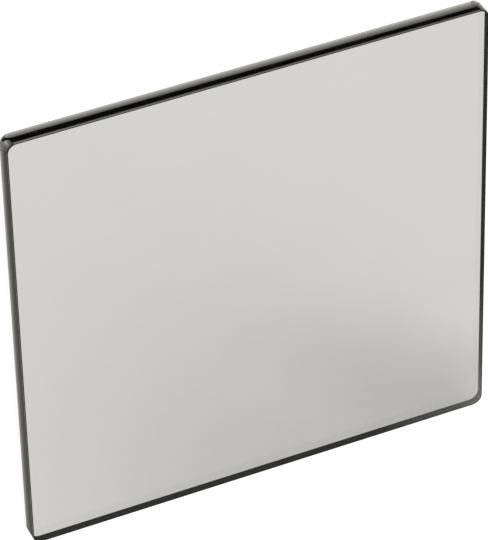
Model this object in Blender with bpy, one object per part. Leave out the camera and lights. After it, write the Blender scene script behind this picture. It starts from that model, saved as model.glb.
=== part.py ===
"""A square polarizing filter: a polarizing film bonded between two glass plates, its edge lacquered.

Metres, +Z up. The filter lies on its rear face. The origin is the middle of that face, and the
optical axis is +Z, out through the front face.
"""

import math

import bmesh
import bpy
from mathutils import Vector

# The finished filter, measured over the lacquer.
FILTER_SIDE = 0.1016
CORNER_RADIUS = 0.0022

# The layers of the stack, and the gap left between one layer and the next.
GLASS_THICKNESS = 0.0017
CEMENT_THICKNESS = 0.00003
FILM_THICKNESS = 0.00015
LAYER_GAP = 0.00001

# The rounding of the glass edges, ground after the stack is bonded.
FRONT_ARRIS = 0.00026
REAR_ARRIS = 0.00004

# The edge lacquer: its thickness, how far it swells at half height, its gap to the stack, and how
# far short of each face it stops, so that only glass touches what the filter lies on.
LACQUER_THICKNESS = 0.00003
LACQUER_CROWN = 0.00002
LACQUER_GAP = 0.00001
LACQUER_SETBACK = 0.00001

# How finely the round stretches are divided.
CORNER_STEPS = 12
ARRIS_STEPS = 5
CROWN_STEPS = 8

# Worked out from the sizes above. All corners, inner and outer, turn about the same four centres.
CORNER_CENTRE = FILTER_SIDE / 2 - CORNER_RADIUS
GLASS_EDGE = FILTER_SIDE / 2 - LACQUER_CROWN - LACQUER_THICKNESS - LACQUER_GAP
REAR_CEMENT_Z = GLASS_THICKNESS + LAYER_GAP
FILM_Z = REAR_CEMENT_Z + CEMENT_THICKNESS + LAYER_GAP
FRONT_CEMENT_Z = FILM_Z + FILM_THICKNESS + LAYER_GAP
FRONT_GLASS_Z = FRONT_CEMENT_Z + CEMENT_THICKNESS + LAYER_GAP
FILTER_THICKNESS = FRONT_GLASS_Z + GLASS_THICKNESS

WELD_DISTANCE = 0.000001
SMOOTH_BELOW = math.radians(30)


def clear_scene():
    """Start from an empty scene."""
    for obj in list(bpy.data.objects):
        bpy.data.objects.remove(obj, do_unlink=True)


def arris(edge, face_height, radius, upwards, setback=0.0):
    """Return the round between a side at edge and a face, from the side up to the setback."""
    points = []
    last_turn = math.asin(1 - setback / radius)
    for step in range(ARRIS_STEPS + 1):
        turn = last_turn * step / ARRIS_STEPS
        out = edge - radius + radius * math.cos(turn)
        rise = radius - radius * math.sin(turn)
        points.append((out, face_height - upwards * rise))
    return points


def crown(edge, bottom, top):
    """Return the lacquer's swell between two heights, both ends left out."""
    points = []
    for step in range(1, CROWN_STEPS):
        share = step / CROWN_STEPS
        swell = LACQUER_CROWN * 4 * share * (1 - share)
        points.append((edge + swell, bottom + share * (top - bottom)))
    return points


def carried_round(section, closed):
    """Carry a section round the four corners and sides of the filter and return it as a bmesh.

    The section is a list of (distance from the middle, height) points.
    """
    bm = bmesh.new()
    verts = [bm.verts.new((out, CORNER_CENTRE, height)) for out, height in section]
    edges = [bm.edges.new(pair) for pair in zip(verts, verts[1:])]
    if closed:
        edges.append(bm.edges.new((verts[-1], verts[0])))
    ring = verts + edges
    centre = Vector((CORNER_CENTRE, CORNER_CENTRE, 0))
    along_side = Vector((-2 * CORNER_CENTRE, 0, 0))
    for _ in range(4):
        turned = bmesh.ops.spin(
            bm,
            geom=ring,
            cent=centre,
            axis=(0, 0, 1),
            angle=math.pi / 2,
            steps=CORNER_STEPS,
        )
        last = [item for item in turned["geom_last"] if isinstance(item, bmesh.types.BMEdge)]
        extruded = bmesh.ops.extrude_edge_only(bm, edges=last)["geom"]
        moved = [item for item in extruded if isinstance(item, bmesh.types.BMVert)]
        bmesh.ops.translate(bm, verts=moved, vec=along_side)
        ring = [item for item in extruded if not isinstance(item, bmesh.types.BMFace)]
        centre = Vector((-centre.y, centre.x, 0))
        along_side = Vector((-along_side.y, along_side.x, 0))
    bmesh.ops.remove_doubles(bm, verts=bm.verts, dist=WELD_DISTANCE)
    return bm


def plate(thickness, rear_arris=0.0, front_arris=0.0):
    """Return a plate of the stack's outline, its rear face at height 0, as a bmesh."""
    section = [(GLASS_EDGE, 0.0)]
    if rear_arris:
        section = arris(GLASS_EDGE, 0.0, rear_arris, -1)[::-1]
    if front_arris:
        section += arris(GLASS_EDGE, thickness, front_arris, 1)
    else:
        section.append((GLASS_EDGE, thickness))
    bm = carried_round(section, closed=False)
    rims = [edge for edge in bm.edges if edge.is_boundary]
    bmesh.ops.holes_fill(bm, edges=rims, sides=0)
    return bm


def lacquer_ring():
    """Return the ring of lacquer: its inside fits the stack and its outside swells slightly."""
    inner_edge = GLASS_EDGE + LACQUER_GAP
    outer_edge = inner_edge + LACQUER_THICKNESS
    inside = arris(inner_edge, 0.0, REAR_ARRIS, -1, LACQUER_SETBACK)[::-1]
    inside += arris(inner_edge, FILTER_THICKNESS, FRONT_ARRIS, 1, LACQUER_SETBACK)
    outside = arris(outer_edge, 0.0, REAR_ARRIS, -1, LACQUER_SETBACK)[::-1]
    outside += crown(outer_edge, REAR_ARRIS, FILTER_THICKNESS - FRONT_ARRIS)
    outside += arris(outer_edge, FILTER_THICKNESS, FRONT_ARRIS, 1, LACQUER_SETBACK)
    return carried_round(outside + inside[::-1], closed=True)


def principled(name, colour, roughness, transmission=0.0, ior=1.5, alpha=1.0):
    """Return a plain material with the given colour and finish."""
    material = bpy.data.materials.new(name)
    material.use_nodes = True
    shader = material.node_tree.nodes["Principled BSDF"]
    shader.inputs["Base Color"].default_value = (*colour, 1.0)
    shader.inputs["Roughness"].default_value = roughness
    shader.inputs["Metallic"].default_value = 0.0
    shader.inputs["Transmission Weight"].default_value = transmission
    shader.inputs["IOR"].default_value = ior
    shader.inputs["Alpha"].default_value = alpha
    return material


def add_piece(name, bm, height, material, collection, parent):
    """Make a bmesh one named object of the filter, lifted to its height in the stack."""
    bmesh.ops.recalc_face_normals(bm, faces=bm.faces)
    mesh = bpy.data.meshes.new(name)
    bm.to_mesh(mesh)
    bm.free()
    mesh.materials.append(material)
    mesh.shade_smooth()
    mesh.set_sharp_from_angle(angle=SMOOTH_BELOW)
    piece = bpy.data.objects.new(name, mesh)
    piece.location = (0, 0, height)
    piece.parent = parent
    collection.objects.link(piece)
    return piece


def build_filter():
    """Build the whole filter, from the rear glass to the lacquer round the edge."""
    clear_scene()
    collection = bpy.data.collections.new("square_polarizing_filter")
    bpy.context.scene.collection.children.link(collection)
    stack = bpy.data.objects.new("filter_stack", None)
    collection.objects.link(stack)

    clear_glass = principled("clear_glass", (0.97, 0.98, 0.97), 0.02, transmission=1.0, ior=1.52)
    cement = principled("optical_cement", (0.99, 0.99, 0.97), 0.05, transmission=1.0, ior=1.5)
    film = principled("grey_film", (0.39, 0.385, 0.37), 0.1, transmission=0.9, ior=1.5)
    lacquer = principled("black_lacquer", (0.006, 0.006, 0.006), 0.12)

    pieces = [
        ("rear_glass", plate(GLASS_THICKNESS, rear_arris=REAR_ARRIS), 0.0, clear_glass),
        ("rear_cement", plate(CEMENT_THICKNESS), REAR_CEMENT_Z, cement),
        ("polarizing_film", plate(FILM_THICKNESS), FILM_Z, film),
        ("front_cement", plate(CEMENT_THICKNESS), FRONT_CEMENT_Z, cement),
        ("front_glass", plate(GLASS_THICKNESS, front_arris=FRONT_ARRIS), FRONT_GLASS_Z, clear_glass),
        ("edge_seal", lacquer_ring(), 0.0, lacquer),
    ]
    for name, bm, height, material in pieces:
        add_piece(name, bm, height, material, collection, stack)


build_filter()
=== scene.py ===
"""The looks of a square polarizing filter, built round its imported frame. Metres, +Z out of the front."""

import math

import bmesh
import bpy
from mathutils import Matrix, Vector


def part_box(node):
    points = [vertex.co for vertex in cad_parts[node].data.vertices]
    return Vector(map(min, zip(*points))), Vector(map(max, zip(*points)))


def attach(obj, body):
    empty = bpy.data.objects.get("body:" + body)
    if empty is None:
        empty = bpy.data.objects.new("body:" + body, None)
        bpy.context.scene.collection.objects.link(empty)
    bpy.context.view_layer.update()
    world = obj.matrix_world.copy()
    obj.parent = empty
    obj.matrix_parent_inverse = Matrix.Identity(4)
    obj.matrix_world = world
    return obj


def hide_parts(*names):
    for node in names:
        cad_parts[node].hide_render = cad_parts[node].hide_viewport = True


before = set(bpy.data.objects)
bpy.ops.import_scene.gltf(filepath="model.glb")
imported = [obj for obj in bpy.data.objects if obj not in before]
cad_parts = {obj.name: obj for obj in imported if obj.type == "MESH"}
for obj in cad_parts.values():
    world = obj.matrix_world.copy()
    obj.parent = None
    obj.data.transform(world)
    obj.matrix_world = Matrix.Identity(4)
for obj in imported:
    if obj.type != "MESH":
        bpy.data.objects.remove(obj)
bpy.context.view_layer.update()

# The camera. The filter is photographed from far off with a long lens, from beyond its top left
# corner and 45 degrees up, so its top and left edges show their outsides and the others their insides.
camera_data = bpy.data.cameras.new("photo_camera")
camera_data.lens = 287.68
camera = bpy.data.objects.new("photo_camera", camera_data)
camera.location = (-0.26610, 0.54185, 0.61177)
camera.rotation_euler = [math.radians(turn) for turn in (-38.5561, -24.3464, -1.2706)]
bpy.context.scene.collection.objects.link(camera)
bpy.context.scene.camera = camera


# The rear glass plate. It is float glass, sawn square, its corners and its outer edge ground round.
# It lies with its polished face down, and the rest of the stack is bonded on top of it.
corner_centre = 0.0486
corner_segments = 16
rear_arris = 0.00004
arris_segments = 8
face_margin = 0.00003
level_face = 0.9999
sharp_rim = math.radians(35)


def set_value(node, socket, value):
    """Set a node's input by name."""
    node.inputs[socket].default_value = value


def new_material(name):
    """Return a new material, its node tree and its Principled shader."""
    material = bpy.data.materials.new(name)
    material.use_nodes = True
    tree = material.node_tree
    return material, tree, tree.nodes["Principled BSDF"]


def new_group(name, inputs, outputs):
    """Return an empty shader node group with its input and output nodes."""
    group = bpy.data.node_groups.new(name, "ShaderNodeTree")
    for socket, kind in inputs:
        group.interface.new_socket(socket, in_out="INPUT", socket_type=kind)
    for socket, kind in outputs:
        group.interface.new_socket(socket, in_out="OUTPUT", socket_type=kind)
    return group, group.nodes.new("NodeGroupInput"), group.nodes.new("NodeGroupOutput")


def add_group(tree, group, values):
    """Place a node group in a material with its own values."""
    node = tree.nodes.new("ShaderNodeGroup")
    node.node_tree = group
    for socket, value in values.items():
        set_value(node, socket, value)
    return node


def make_cloudiness():
    """Return the group for a soft, faint change between two colours or values over a surface."""
    group, given, out = new_group(
        "cloudiness",
        [("Low", "NodeSocketColor"), ("High", "NodeSocketColor"), ("Scale", "NodeSocketVector")],
        [("Colour", "NodeSocketColor"), ("Mask", "NodeSocketFloat")],
    )
    place = group.nodes.new("ShaderNodeTexCoord")
    stretch = group.nodes.new("ShaderNodeVectorMath")
    stretch.operation = "MULTIPLY"
    noise = group.nodes.new("ShaderNodeTexNoise")
    set_value(noise, "Scale", 1.0)
    set_value(noise, "Detail", 3.0)
    set_value(noise, "Roughness", 0.55)
    spread = group.nodes.new("ShaderNodeMapRange")
    set_value(spread, "From Min", 0.3)
    set_value(spread, "From Max", 0.7)
    blend = group.nodes.new("ShaderNodeMix")
    blend.data_type = "RGBA"
    link = group.links.new
    link(place.outputs["Object"], stretch.inputs[0])
    link(given.outputs["Scale"], stretch.inputs[1])
    link(stretch.outputs[0], noise.inputs["Vector"])
    link(noise.outputs["Fac"], spread.inputs["Value"])
    link(spread.outputs["Result"], blend.inputs["Factor"])
    link(given.outputs["Low"], blend.inputs[6])
    link(given.outputs["High"], blend.inputs[7])
    link(blend.outputs[2], out.inputs["Colour"])
    link(spread.outputs["Result"], out.inputs["Mask"])
    return group


cloudiness = make_cloudiness()


def vary_roughness(tree, shader, mask, least, most):
    """Let a mask move a shader's roughness between two values."""
    rough = tree.nodes.new("ShaderNodeMapRange")
    set_value(rough, "To Min", least)
    set_value(rough, "To Max", most)
    tree.links.new(mask, rough.inputs["Value"])
    tree.links.new(rough.outputs["Result"], shader.inputs["Roughness"])


def make_polished_glass():
    """Return polished float glass with the faintest wipe marks left by a cloth."""
    material, tree, shader = new_material("polished_glass")
    set_value(shader, "Transmission Weight", 1.0)
    set_value(shader, "IOR", 1.52)
    tint = add_group(tree, cloudiness, {
        "Low": (0.992, 0.996, 0.993, 1.0),
        "High": (0.998, 1.0, 0.998, 1.0),
        "Scale": (60.0, 60.0, 60.0),
    })
    tree.links.new(tint.outputs["Colour"], shader.inputs["Base Color"])
    wipes = add_group(tree, cloudiness, {"Scale": (420.0, 90.0, 90.0)})
    vary_roughness(tree, shader, wipes.outputs["Mask"], least=0.004, most=0.016)
    return material


def make_see_through(name, low, high, scale):
    """Return a layer with cement against it, which neither bends nor mirrors light, only tints it."""
    material = bpy.data.materials.new(name)
    material.use_nodes = True
    tree = material.node_tree
    tree.nodes.remove(tree.nodes["Principled BSDF"])
    clear = tree.nodes.new("ShaderNodeBsdfTransparent")
    tint = add_group(tree, cloudiness, {"Low": (*low, 1.0), "High": (*high, 1.0), "Scale": scale})
    tree.links.new(tint.outputs["Colour"], clear.inputs["Color"])
    tree.links.new(clear.outputs[0], tree.nodes["Material Output"].inputs["Surface"])
    return material


lacquer_dark = (0.003, 0.003, 0.002, 1.0)
lacquer_light = (0.009, 0.009, 0.007, 1.0)


def make_lacquer_behind_glass():
    """Return lacquer as it looks through the glass it wets: black, without a gloss of its own."""
    material, tree, shader = new_material("lacquer_behind_glass")
    set_value(shader, "Specular IOR Level", 0.0)
    set_value(shader, "Roughness", 0.9)
    shade = add_group(tree, cloudiness, {
        "Low": lacquer_dark,
        "High": lacquer_light,
        "Scale": (500.0, 500.0, 900.0),
    })
    tree.links.new(shade.outputs["Colour"], shader.inputs["Base Color"])
    return material


polished_glass = make_polished_glass()
bonded_face = make_see_through("bonded_face", (0.997, 0.998, 0.997), (1.0, 1.0, 1.0), (40.0, 40.0, 40.0))
lacquer_behind_glass = make_lacquer_behind_glass()


def add_piece(name, bm, materials):
    """Make a bmesh a piece of the filter, smooth but for its sharp rims."""
    mesh = bpy.data.meshes.new(name)
    bm.to_mesh(mesh)
    bm.free()
    for material in materials:
        mesh.materials.append(material)
    mesh.shade_smooth()
    mesh.set_sharp_from_angle(angle=sharp_rim)
    piece = bpy.data.objects.new(name, mesh)
    bpy.context.scene.collection.objects.link(piece)
    return piece


def round_edges(bm, edges, radius, segments):
    """Grind edges round."""
    bmesh.ops.bevel(
        bm,
        geom=edges,
        offset=radius,
        offset_type="OFFSET",
        segments=segments,
        profile=0.5,
        affect="EDGES",
        material=-1,
    )
    bm.normal_update()


def glass_plate(name, node, arris, outward):
    """Make a glass plate where its node is. Outward is 1 with the polished face up, -1 with it down."""
    low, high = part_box(node)
    bm = bmesh.new()
    bmesh.ops.create_cube(bm, size=1.0)
    bmesh.ops.scale(bm, vec=high - low, verts=bm.verts)
    bmesh.ops.translate(bm, vec=(low + high) / 2, verts=bm.verts)
    half_height = (high.z - low.z) / 2
    uprights = [edge for edge in bm.edges if abs(edge.verts[0].co.z - edge.verts[1].co.z) > half_height]
    round_edges(bm, uprights, high.x - corner_centre, corner_segments)
    outer = [face for face in bm.faces if face.normal.z * outward > level_face][0]
    round_edges(bm, list(outer.edges), arris, arris_segments)
    outer = [face for face in bm.faces if face.normal.z * outward > level_face]
    bmesh.ops.inset_region(bm, faces=outer, thickness=face_margin, use_even_offset=True)
    bm.normal_update()
    for face in bm.faces:
        tilt = face.normal.z * outward
        face.material_index = 0 if tilt > level_face else 1 if tilt < -level_face else 2
    plate = add_piece(name, bm, [polished_glass, bonded_face, lacquer_behind_glass])
    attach(plate, "root")
    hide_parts(node)
    # What light the filter lets through its film decides its shadow, so the clear glass casts none.
    plate.visible_shadow = False


glass_plate("rear_plate", "rear_glass", rear_arris, -1)


# The rear bond. It is clear optical cement, spread on the plate and cured by lamp under pressure,
# a few hundredths of a millimetre thick. Nothing of it shows but the faintest cast of yellow.
cement = make_see_through("optical_cement", (0.997, 0.997, 0.993), (1.0, 1.0, 0.997), (70.0, 70.0, 70.0))
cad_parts["rear_cement"].material_slots[0].material = cement


# The polarizing film. It is plastic sheet, stretched to several times its length and dyed, which lines
# its long molecules up. The dye gives its warm grey and the stretching the faintest of streaks.
film_dark = (0.8285, 0.8206, 0.8161)
film_light = (0.8316, 0.8238, 0.8192)
film_grey = make_see_through("polarizing_film", film_dark, film_light, (25.0, 600.0, 25.0))
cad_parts["polarizing_film"].material_slots[0].material = film_grey


# The front bond. It is the same clear cement as in the rear bond, spread on the film and cured in the
# same way once the front plate is laid on it.
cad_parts["front_cement"].material_slots[0].material = cement


# The front glass plate. It is the twin of the rear one, its polished face up. Its outer edge is ground
# a little wider, since this side is handled more.
front_arris = 0.00026
glass_plate("front_plate", "front_glass", front_arris, 1)


# The edge lacquer. It is gloss black, brushed round the ground edges of the whole stack, so that no
# light strays in and no damp reaches the cement. It runs up both arrises and stops just short of a face.
lacquer_thickness = 0.00003
lacquer_crown = 0.000019
lacquer_gap = 0.00001
lacquer_setback = 0.00001
lip_steps = 10
crown_steps = 20
weld_distance = 0.000001


def round_lip(edge, face_height, radius, upwards):
    """Return the lacquer's round over an arris, from the side up to where it stops."""
    points = []
    last_turn = math.asin(1 - lacquer_setback / radius)
    for step in range(lip_steps + 1):
        turn = last_turn * step / lip_steps
        out = edge - radius + radius * math.cos(turn)
        rise = radius - radius * math.sin(turn)
        points.append((out, face_height - upwards * rise))
    return points


def lacquer_section():
    """Return the points round the lacquer's section, by distance from the middle and height."""
    low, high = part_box("edge_seal")
    bottom = low.z - lacquer_setback
    top = high.z + lacquer_setback
    inner_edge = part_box("front_glass")[1].x + lacquer_gap
    outer_edge = inner_edge + lacquer_thickness
    inside = round_lip(inner_edge, bottom, rear_arris, -1)[::-1]
    inside += round_lip(inner_edge, top, front_arris, 1)
    outside = round_lip(outer_edge, bottom, rear_arris, -1)[::-1]
    for step in range(1, crown_steps):
        share = step / crown_steps
        height = bottom + rear_arris + share * (top - front_arris - bottom - rear_arris)
        outside.append((outer_edge + lacquer_crown * 4 * share * (1 - share), height))
    outside += round_lip(outer_edge, top, front_arris, 1)
    return outside + inside[::-1]


def lacquer_ring():
    """Return the ring of lacquer, its section carried round four corners and four sides."""
    bm = bmesh.new()
    verts = [bm.verts.new((out, corner_centre, height)) for out, height in lacquer_section()]
    edges = [bm.edges.new(pair) for pair in zip(verts, verts[1:] + verts[:1])]
    ring = verts + edges
    centre = Vector((corner_centre, corner_centre, 0))
    along_side = Vector((-2 * corner_centre, 0, 0))
    for _ in range(4):
        turned = bmesh.ops.spin(
            bm,
            geom=ring,
            cent=centre,
            axis=(0, 0, 1),
            angle=math.pi / 2,
            steps=corner_segments,
        )
        last = [item for item in turned["geom_last"] if isinstance(item, bmesh.types.BMEdge)]
        extruded = bmesh.ops.extrude_edge_only(bm, edges=last)["geom"]
        moved = [item for item in extruded if isinstance(item, bmesh.types.BMVert)]
        bmesh.ops.translate(bm, verts=moved, vec=along_side)
        ring = [item for item in extruded if not isinstance(item, bmesh.types.BMFace)]
        centre = Vector((-centre.y, centre.x, 0))
        along_side = Vector((-along_side.y, along_side.x, 0))
    bmesh.ops.remove_doubles(bm, verts=bm.verts, dist=weld_distance)
    bmesh.ops.recalc_face_normals(bm, faces=bm.faces)
    # The faces that look inwards lie against the glass.
    for face in bm.faces:
        middle = face.calc_center_median()
        outwards = Vector((
            math.copysign(max(abs(middle.x) - corner_centre, 0), middle.x),
            math.copysign(max(abs(middle.y) - corner_centre, 0), middle.y),
            0,
        ))
        face.material_index = 1 if face.normal.dot(outwards) < 0 else 0
    return bm


def make_edge_lacquer():
    """Return gloss black lacquer with the flow of the brush along the edge and a little dust in it."""
    material, tree, shader = new_material("edge_lacquer")
    shade = add_group(tree, cloudiness, {
        "Low": lacquer_dark,
        "High": lacquer_light,
        "Scale": (300.0, 300.0, 900.0),
    })
    tree.links.new(shade.outputs["Colour"], shader.inputs["Base Color"])
    vary_roughness(tree, shader, shade.outputs["Mask"], least=0.05, most=0.11)
    flow = add_group(tree, cloudiness, {"Scale": (120.0, 120.0, 1600.0)})
    bump = tree.nodes.new("ShaderNodeBump")
    set_value(bump, "Strength", 0.1)
    set_value(bump, "Distance", 0.00002)
    tree.links.new(flow.outputs["Mask"], bump.inputs["Height"])
    tree.links.new(bump.outputs["Normal"], shader.inputs["Normal"])
    return material


edge_lacquer = add_piece("edge_lacquer", lacquer_ring(), [make_edge_lacquer(), lacquer_behind_glass])
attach(edge_lacquer, "root")
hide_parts("edge_seal")


# The floor. It is a plain white studio table, just under the filter. The filter's shadow shows on it.
# In the filter's gloss it is white, and so it is through the filter, but for three painted shades at the
# lower right, dimmed into its glow and seen only through the filter. Each shade has its middle, its turn,
# its reach and how much it dims.
floor_gap = 0.00005
floor_reach = 4.0
floor_glow = 0.85
painted_shades = [
    ((0.2265, -0.1945), -0.678, (0.3173, 0.0333), 1.16),
    ((0.0969, -0.2323), 0.492, (0.0930, 0.3305), 0.777),
    ((0.042, -0.039), 0.0, (0.016, 0.022), 0.04),
]


def make_floor_white():
    """Return the floor's material, which looks different to the eye, in gloss and through the glass."""
    material, tree, lit = new_material("floor_white")
    link = tree.links.new
    set_value(lit, "Base Color", (0.3, 0.3, 0.3, 1.0))
    set_value(lit, "Roughness", 0.8)
    glow = tree.nodes.new("ShaderNodeEmission")
    set_value(glow, "Strength", floor_glow)
    added = tree.nodes.new("ShaderNodeAddShader")
    link(lit.outputs[0], added.inputs[0])
    link(glow.outputs[0], added.inputs[1])
    place = tree.nodes.new("ShaderNodeTexCoord")
    level = None
    # Each painted shade dims the white that the filter shows of the floor, darkest at its middle.
    for centre, turn, reach, depth in painted_shades:
        spot = tree.nodes.new("ShaderNodeMapping")
        spot.vector_type = "TEXTURE"
        set_value(spot, "Location", (*centre, -floor_gap))
        set_value(spot, "Rotation", (0.0, 0.0, turn))
        set_value(spot, "Scale", (*reach, 1.0))
        far_off = tree.nodes.new("ShaderNodeVectorMath")
        far_off.operation = "LENGTH"
        dimmed = tree.nodes.new("ShaderNodeMapRange")
        dimmed.interpolation_type = "SMOOTHSTEP"
        set_value(dimmed, "To Min", depth)
        set_value(dimmed, "To Max", 0.0)
        remaining = tree.nodes.new("ShaderNodeMath")
        remaining.operation = "SUBTRACT"
        set_value(remaining, 0, 1.0)
        link(place.outputs["Object"], spot.inputs["Vector"])
        link(spot.outputs["Vector"], far_off.inputs[0])
        link(far_off.outputs["Value"], dimmed.inputs["Value"])
        if level is not None:
            link(level, remaining.inputs[0])
        link(dimmed.outputs["Result"], remaining.inputs[1])
        level = remaining.outputs[0]
    white = tree.nodes.new("ShaderNodeEmission")
    path = tree.nodes.new("ShaderNodeLightPath")
    shown = tree.nodes.new("ShaderNodeMix")
    set_value(shown, "A", 1.0)
    link(path.outputs["Is Transmission Ray"], shown.inputs["Factor"])
    link(level, shown.inputs["B"])
    link(shown.outputs["Result"], white.inputs["Strength"])
    through = tree.nodes.new("ShaderNodeMath")
    through.operation = "MAXIMUM"
    link(path.outputs["Is Transmission Ray"], through.inputs[0])
    link(path.outputs["Is Glossy Ray"], through.inputs[1])
    seen = tree.nodes.new("ShaderNodeMixShader")
    link(path.outputs["Is Camera Ray"], seen.inputs[0])
    link(lit.outputs[0], seen.inputs[1])
    link(added.outputs[0], seen.inputs[2])
    final = tree.nodes.new("ShaderNodeMixShader")
    link(through.outputs[0], final.inputs[0])
    link(seen.outputs[0], final.inputs[1])
    link(white.outputs[0], final.inputs[2])
    link(final.outputs[0], tree.nodes["Material Output"].inputs["Surface"])
    return material


floor_bm = bmesh.new()
bmesh.ops.create_grid(floor_bm, x_segments=1, y_segments=1, size=floor_reach)
bmesh.ops.translate(floor_bm, vec=(0, 0, -floor_gap), verts=floor_bm.verts)
floor_mesh = bpy.data.meshes.new("floor")
floor_bm.to_mesh(floor_mesh)
floor_bm.free()
floor_mesh.materials.append(make_floor_white())
floor = bpy.data.objects.new("floor", floor_mesh)
bpy.context.scene.collection.objects.link(floor)


# The studio cards. Warm grey, bright and black cards lie and hang round the filter, out of sight, and
# show only in its gloss: a flag over the polished face, strips on the table close to the two edges that
# face us, and two round lights for their arrises.
half_side = 0.0508
warm_grey = (1.0, 0.98, 0.91)
up = (0, 0, 1)
rim_segments = 64

# The cards on the table lie a few thousandths of a millimetre one over another.
disc_height = -0.000045
strip_height = -0.00004
line_height = -0.00003
grey_height = -0.00002


def make_glow(name, tint, origin, way, reach, levels):
    """Return a card's material, its brightness set by the distance from an origin, along a way or all round.

    The levels are pairs of a share of the reach and the brightness there.
    """
    material = bpy.data.materials.new(name)
    material.use_nodes = True
    tree = material.node_tree
    tree.nodes.remove(tree.nodes["Principled BSDF"])
    peak = max(level for share, level in levels)
    place = tree.nodes.new("ShaderNodeTexCoord")
    offset = tree.nodes.new("ShaderNodeVectorMath")
    offset.operation = "SUBTRACT"
    offset.inputs[1].default_value = origin
    far_off = tree.nodes.new("ShaderNodeVectorMath")
    far_off.operation = "DOT_PRODUCT" if way else "LENGTH"
    if way:
        far_off.inputs[1].default_value = way
    shared = tree.nodes.new("ShaderNodeMapRange")
    set_value(shared, "From Max", reach)
    ramp = tree.nodes.new("ShaderNodeValToRGB")
    stops = ramp.color_ramp.elements
    while len(stops) < len(levels):
        stops.new(0.5)
    for stop, (share, level) in zip(stops, levels):
        stop.position = share
        stop.color = (*(part * level / peak for part in tint), 1.0)
    glow = tree.nodes.new("ShaderNodeEmission")
    set_value(glow, "Strength", peak)
    link = tree.links.new
    link(place.outputs["Object"], offset.inputs[0])
    link(offset.outputs[0], far_off.inputs[0])
    link(far_off.outputs["Value"], shared.inputs["Value"])
    link(shared.outputs["Result"], ramp.inputs["Fac"])
    link(ramp.outputs["Color"], glow.inputs["Color"])
    link(glow.outputs[0], tree.nodes["Material Output"].inputs["Surface"])
    return material


def stage_card(name, bm, material):
    """Put a card in the studio, seen only in what is glossy."""
    mesh = bpy.data.meshes.new(name)
    bm.to_mesh(mesh)
    bm.free()
    mesh.materials.append(material)
    card = bpy.data.objects.new(name, mesh)
    bpy.context.scene.collection.objects.link(card)
    card.visible_camera = False
    card.visible_diffuse = False
    card.visible_transmission = False
    card.visible_shadow = False


def table_card(name, size, place, material, turn=0.0):
    """Stage a rectangular card that lies on the table."""
    bm = bmesh.new()
    bmesh.ops.create_grid(bm, x_segments=1, y_segments=1, size=0.5)
    bmesh.ops.scale(bm, vec=(*size, 1.0), verts=bm.verts)
    bmesh.ops.rotate(bm, matrix=Matrix.Rotation(turn, 3, "Z"), verts=bm.verts)
    bmesh.ops.translate(bm, vec=place, verts=bm.verts)
    stage_card(name, bm, material)


def round_card(name, radius, place, facing, tint, levels):
    """Stage a round card, its brightness set by the distance from its middle."""
    bm = bmesh.new()
    bmesh.ops.create_circle(bm, cap_ends=True, radius=radius, segments=rim_segments)
    bmesh.ops.rotate(bm, matrix=Vector(facing).to_track_quat("Z", "Y").to_matrix(), verts=bm.verts)
    bmesh.ops.translate(bm, vec=place, verts=bm.verts)
    stage_card(name, bm, make_glow(f"card_{name}", tint, place, None, radius, levels))


black = make_glow("card_black", warm_grey, (0, 0, 0), None, 1.0, [(0, 0.001), (1, 0.001)])

# The flag hangs over the face. It is grey and pales to the white of the room at its rim, and a soft
# glow in front of it shows in the lower right corner.
flag_way = Vector((0.311, -0.631, 0.710)).normalized()
flag_place = 0.8 * flag_way
flag_radius = 1.3
flag_tint = (1.0, 1.0, 0.87)
flag_levels = [(0, 0.53), (0.45, 0.53), (1, 1.0)]
round_card("grey_flag", flag_radius, flag_place, -flag_way, flag_tint, flag_levels)
glow_place = Vector((0.3176, -0.5397, 0.5082)) - 0.005 * flag_way
glow_radius = 0.045
glow_levels = [(0, 3.0), (0.16, 2.4), (0.27, 1.6), (0.4, 1.4), (0.67, 1.1), (1, 0.53)]
round_card("flag_glow", glow_radius, glow_place, -flag_way, flag_tint, glow_levels)

# Beyond the top edge the table is bright close in, then there is a black line, and then it is grey.
bright_width = 0.0025
bright_levels = [(0, 8.9), (0.2, 4.9), (0.4, 2.75), (0.6, 1.5), (1, 0.5)]
table_card(
    "bright_strip",
    size=(0.0986, bright_width),
    place=(-0.0007, half_side + bright_width / 2, strip_height),
    material=make_glow("card_bright", warm_grey, (0, half_side, 0), (0, 1, 0), bright_width, bright_levels),
)
table_card(
    "black_strip",
    size=(0.102, 0.003),
    place=(0.001, half_side + 0.00307, line_height),
    material=black,
    turn=math.radians(0.23),
)
grey_start = half_side + 0.00315
grey_width = 0.06
grey_length = 0.11
grey_levels = [(0, 4.5), (0.15, 3.0), (0.4, 2.4), (1, 2.0)]
table_card(
    "grey_strip",
    size=(grey_length, grey_width),
    place=(0.005, grey_start + grey_width / 2, grey_height),
    material=make_glow("card_grey", warm_grey, (-grey_length / 2, 0, 0), (1, 0, 0), grey_length, grey_levels),
)

# Beyond the left edge it is dim, more so towards the bottom.
dim_width = 0.06
dim_reach = 0.0012
dim_way = (-1, -0.003, 0)
dim_levels = [(0, 1.35), (0.33, 0.68), (0.5, 0.49), (0.7, 0.35), (1, 0.31)]
table_card(
    "left_strip",
    size=(dim_width, 0.13),
    place=(-half_side - dim_width / 2, -0.018, line_height),
    material=make_glow("card_left", warm_grey, (-half_side, 0, 0), dim_way, dim_reach, dim_levels),
)

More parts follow.
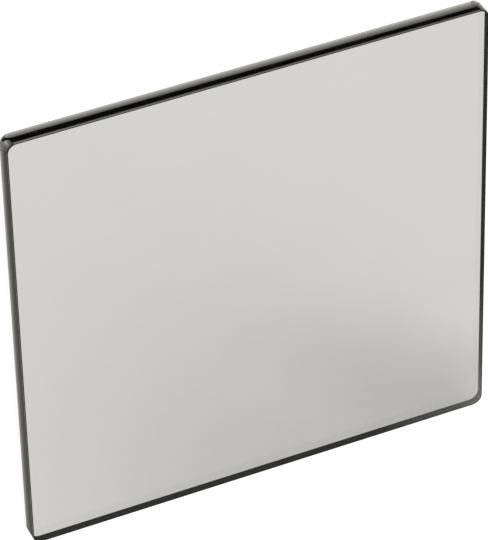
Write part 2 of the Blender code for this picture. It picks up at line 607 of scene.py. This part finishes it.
# At the top left corner it is bright past a black line, which bends round the corner.
corner_place = (-0.0517, 0.05095, disc_height)
corner_reach = 0.005
corner_levels = [(0, 5.6), (0.07, 5.2), (0.19, 3.1), (0.32, 2.0), (0.45, 1.3), (0.6, 1.0), (1, 0.4)]
round_card("corner_disc", corner_reach, corner_place, up, warm_grey, corner_levels)
line_middle = Vector((-0.047, 0.049, line_height))
line_radii = (0.0038, 0.0045)
line_start = Matrix.Rotation(math.radians(108), 3, "Z")
line_bm = bmesh.new()
line_ends = [line_bm.verts.new(line_middle + Vector((radius, 0, 0))) for radius in line_radii]
line_edge = line_bm.edges.new(line_ends)
bmesh.ops.rotate(line_bm, cent=line_middle, matrix=line_start, verts=line_ends)
bmesh.ops.spin(
    line_bm,
    geom=[*line_ends, line_edge],
    cent=line_middle,
    axis=up,
    angle=math.radians(60),
    steps=corner_segments,
)
stage_card("corner_line", line_bm, black)

# Round the top right corner the table fades as it does along the top, and then comes a small patch.
right_place = (corner_centre, corner_centre, disc_height)
right_reach = 0.0047
right_levels = [(0, 4.0), (0.468, 4.0), (0.53, 3.6), (0.62, 2.9), (0.72, 2.1), (0.82, 1.3), (1, 0.6)]
round_card("right_disc", right_reach, right_place, up, warm_grey, right_levels)
patch_length = 0.0064
patch_start = (0, 0.046, 0)
patch_levels = [
    (0, 1.0), (0.15, 0.35), (0.25, 0.35), (0.4, 0.9), (0.56, 1.0), (0.69, 1.4), (0.79, 1.7), (1, 0.8)
]
table_card(
    "right_patch",
    size=(0.003, patch_length),
    place=(0.0518, patch_start[1] + patch_length / 2, strip_height),
    material=make_glow("card_right", warm_grey, patch_start, (0, 1, 0), patch_length, patch_levels),
)

# The two lights, for the arrises of the top and left edges, fade to the white of the room at their rims.
light_distance = 1.2
top_way = Vector((0.2, 0.75, 0.56)).normalized()
top_radius = 0.6
top_levels = [(0, 8.0), (0.15, 7.5), (0.5, 4.2), (1, 1.0)]
round_card("top_light", top_radius, light_distance * top_way, -top_way, warm_grey, top_levels)
left_way = Vector((-0.68, -0.63, 0.3)).normalized()
left_radius = 0.5
left_levels = [(0, 4.5), (0.3, 4.2), (1, 1.0)]
round_card("left_light", left_radius, light_distance * left_way, -left_way, warm_grey, left_levels)


# The lamps and the world. A large soft box overhead and a small one at the left light the table evenly.
# The walls of the room are white to the eye, in gloss and through glass, and light the filter dimly.
wall_light = 0.3


def soft_box(name, way, distance, width, depth, radiance):
    """Hang a soft box that shines at the filter with an even radiance."""
    light = bpy.data.lights.new(name, "AREA")
    light.shape = "RECTANGLE"
    light.size = width
    light.size_y = depth
    light.energy = radiance * math.pi * width * depth
    lamp = bpy.data.objects.new(name, light)
    lamp.location = Vector(way).normalized() * distance
    lamp.rotation_euler = Vector(way).to_track_quat("Z", "Y").to_euler()
    lamp.visible_glossy = False
    lamp.visible_transmission = False
    bpy.context.scene.collection.objects.link(lamp)


soft_box("overhead_box", way=(0.31, 0.40, 0.86), distance=1.1, width=0.8, depth=1.4, radiance=2.6)
soft_box("left_box", way=(-0.80, 0.10, 0.55), distance=1.4, width=0.4, depth=0.4, radiance=2.0)

world = bpy.data.worlds.new("white_room")
world.use_nodes = True
bpy.context.scene.world = world
room = world.node_tree
walls = room.nodes["Background"]
path = room.nodes.new("ShaderNodeLightPath")
plain = room.nodes.new("ShaderNodeMath")
plain.operation = "MAXIMUM"
any_view = room.nodes.new("ShaderNodeMath")
any_view.operation = "MAXIMUM"
level = room.nodes.new("ShaderNodeMapRange")
set_value(level, "To Min", wall_light)
room.links.new(path.outputs["Is Camera Ray"], plain.inputs[0])
room.links.new(path.outputs["Is Glossy Ray"], plain.inputs[1])
room.links.new(plain.outputs[0], any_view.inputs[0])
room.links.new(path.outputs["Is Transmission Ray"], any_view.inputs[1])
room.links.new(any_view.outputs[0], level.inputs["Value"])
room.links.new(level.outputs["Result"], walls.inputs["Strength"])
walls.inputs["Color"].default_value = (1.0, 1.0, 1.0, 1.0)

bpy.context.scene.view_settings.view_transform = "Standard"

# A ray that the rear face mirrors meets sixteen see-through faces, and these limits let it by them all.
bpy.context.scene.cycles.transparent_max_bounces = 32
bpy.context.scene.cycles.min_transparent_bounces = 32
